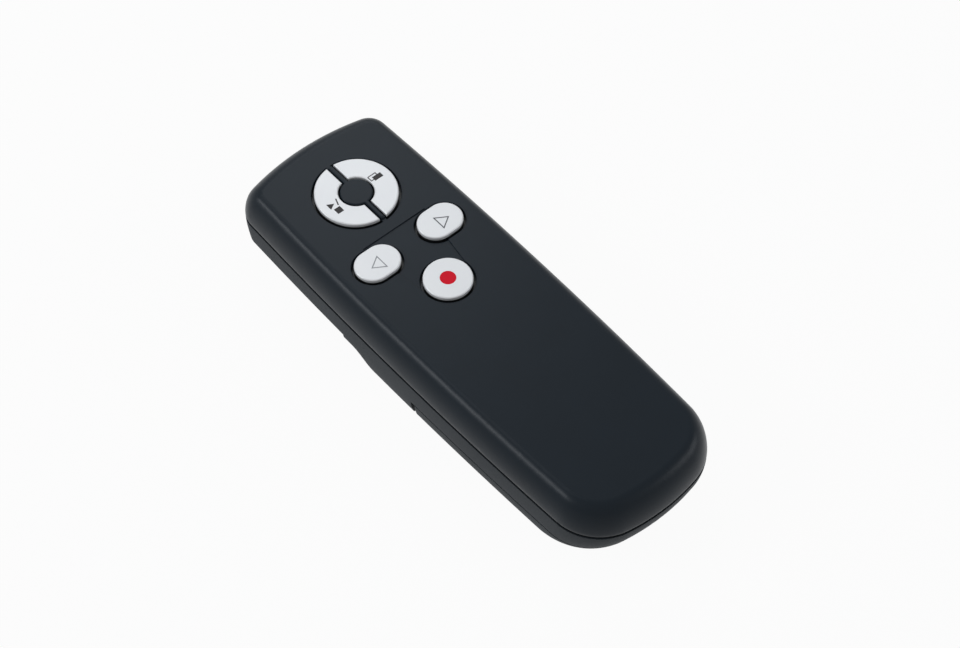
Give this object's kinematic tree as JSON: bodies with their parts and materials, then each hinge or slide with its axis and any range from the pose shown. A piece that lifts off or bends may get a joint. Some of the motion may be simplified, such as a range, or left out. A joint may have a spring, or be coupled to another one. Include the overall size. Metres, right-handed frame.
{
  "type": "wireless presentation clicker",
  "caption": "Handheld presentation remote with a domed two-part case, silver half-ring, oval and round keys, a laser pointer in its nose and a sliding battery door.",
  "frame": {"origin": "centre of the overall box in plan, on the flat underside that the clicker rests on", "axes": "+Y along the case towards the laser end, +Z out of the key face, +X to the holder's right"},
  "size_m": [0.038, 0.112, 0.0187],
  "materials": {
    "top_plastic": "fine matt moulded plastic, charcoal black",
    "lower_plastic": "spark textured moulded plastic, dark grey",
    "silver_key": "satin silver paint over moulded plastic",
    "red_dot": "red printed insert",
    "switch_housing": "black switch housing",
    "switch_plunger": "off-white acetal plunger",
    "board_laminate": "green solder mask on glass fibre laminate",
    "chip_resin": "moulded chip resin",
    "ceramic": "ceramic component bodies",
    "gold_track": "gold plated copper",
    "brass": "turned brass",
    "steel": "plain steel",
    "spring_steel": "nickel plated spring steel",
    "clear_lens": "clear moulded lens",
    "cell_sleeve": "plain printed cell sleeve",
    "black_screw": "black zinc plated screw"
  },
  "bodies": {
    "case": {"top_cover": "top_plastic", "bottom_cover": "lower_plastic", "tactile_switches": "switch_housing", "circuit_board": "board_laminate", "microcontroller": "chip_resin", "radio_chip": "chip_resin", "crystal_oscillator": "steel", "small_components": "ceramic", "antenna": "gold_track", "laser_barrel": "brass", "laser_diode": "steel", "laser_leads": "gold_track", "laser_lens": "clear_lens", "lens_ring": "brass", "laser_window": "clear_lens", "left_cell": "cell_sleeve", "right_cell": "cell_sleeve", "rear_battery_spring": "spring_steel", "front_battery_spring": "spring_steel", "rear_contact_bridge": "spring_steel", "positive_contact": "spring_steel", "negative_contact": "spring_steel", "case_screws": "black_screw", "board_screws": "steel"},
    "door": {"battery_door": "lower_plastic"},
    "start_stop_key": {"start_stop_button": "silver_key", "start_stop_switch_plunger": "switch_plunger"},
    "blank_screen_key": {"blank_screen_button": "silver_key", "blank_screen_switch_plunger": "switch_plunger"},
    "previous_key": {"previous_button": "silver_key", "previous_switch_plunger": "switch_plunger"},
    "next_key": {"next_button": "silver_key", "next_switch_plunger": "switch_plunger"},
    "laser_key": {"laser_button": "silver_key", "laser_switch_plunger": "switch_plunger", "laser_button_dot": "red_dot"}
  },
  "joints": [
    {"name": "start_stop_key_press", "type": "slide", "parent": "case", "child": "start_stop_key", "axis": [0, 0, -1], "range_m": [0, 0.0005], "stiffness_N_per_m": 2500, "springref_m": -0.0002},
    {"name": "blank_screen_key_press", "type": "slide", "parent": "case", "child": "blank_screen_key", "axis": [0, 0, -1], "range_m": [0, 0.0005], "stiffness_N_per_m": 2500, "springref_m": -0.0002},
    {"name": "previous_key_press", "type": "slide", "parent": "case", "child": "previous_key", "axis": [0, 0, -1], "range_m": [0, 0.0005], "stiffness_N_per_m": 2500, "springref_m": -0.0002},
    {"name": "next_key_press", "type": "slide", "parent": "case", "child": "next_key", "axis": [0, 0, -1], "range_m": [0, 0.0005], "stiffness_N_per_m": 2500, "springref_m": -0.0002},
    {"name": "laser_key_press", "type": "slide", "parent": "case", "child": "laser_key", "axis": [0, 0, -1], "range_m": [0, 0.0005], "stiffness_N_per_m": 2500, "springref_m": -0.0002},
    {"name": "battery_door_slide", "type": "slide", "parent": "case", "child": "door", "axis": [0, -1, 0], "range_m": [0, 0.055]}
  ]
}
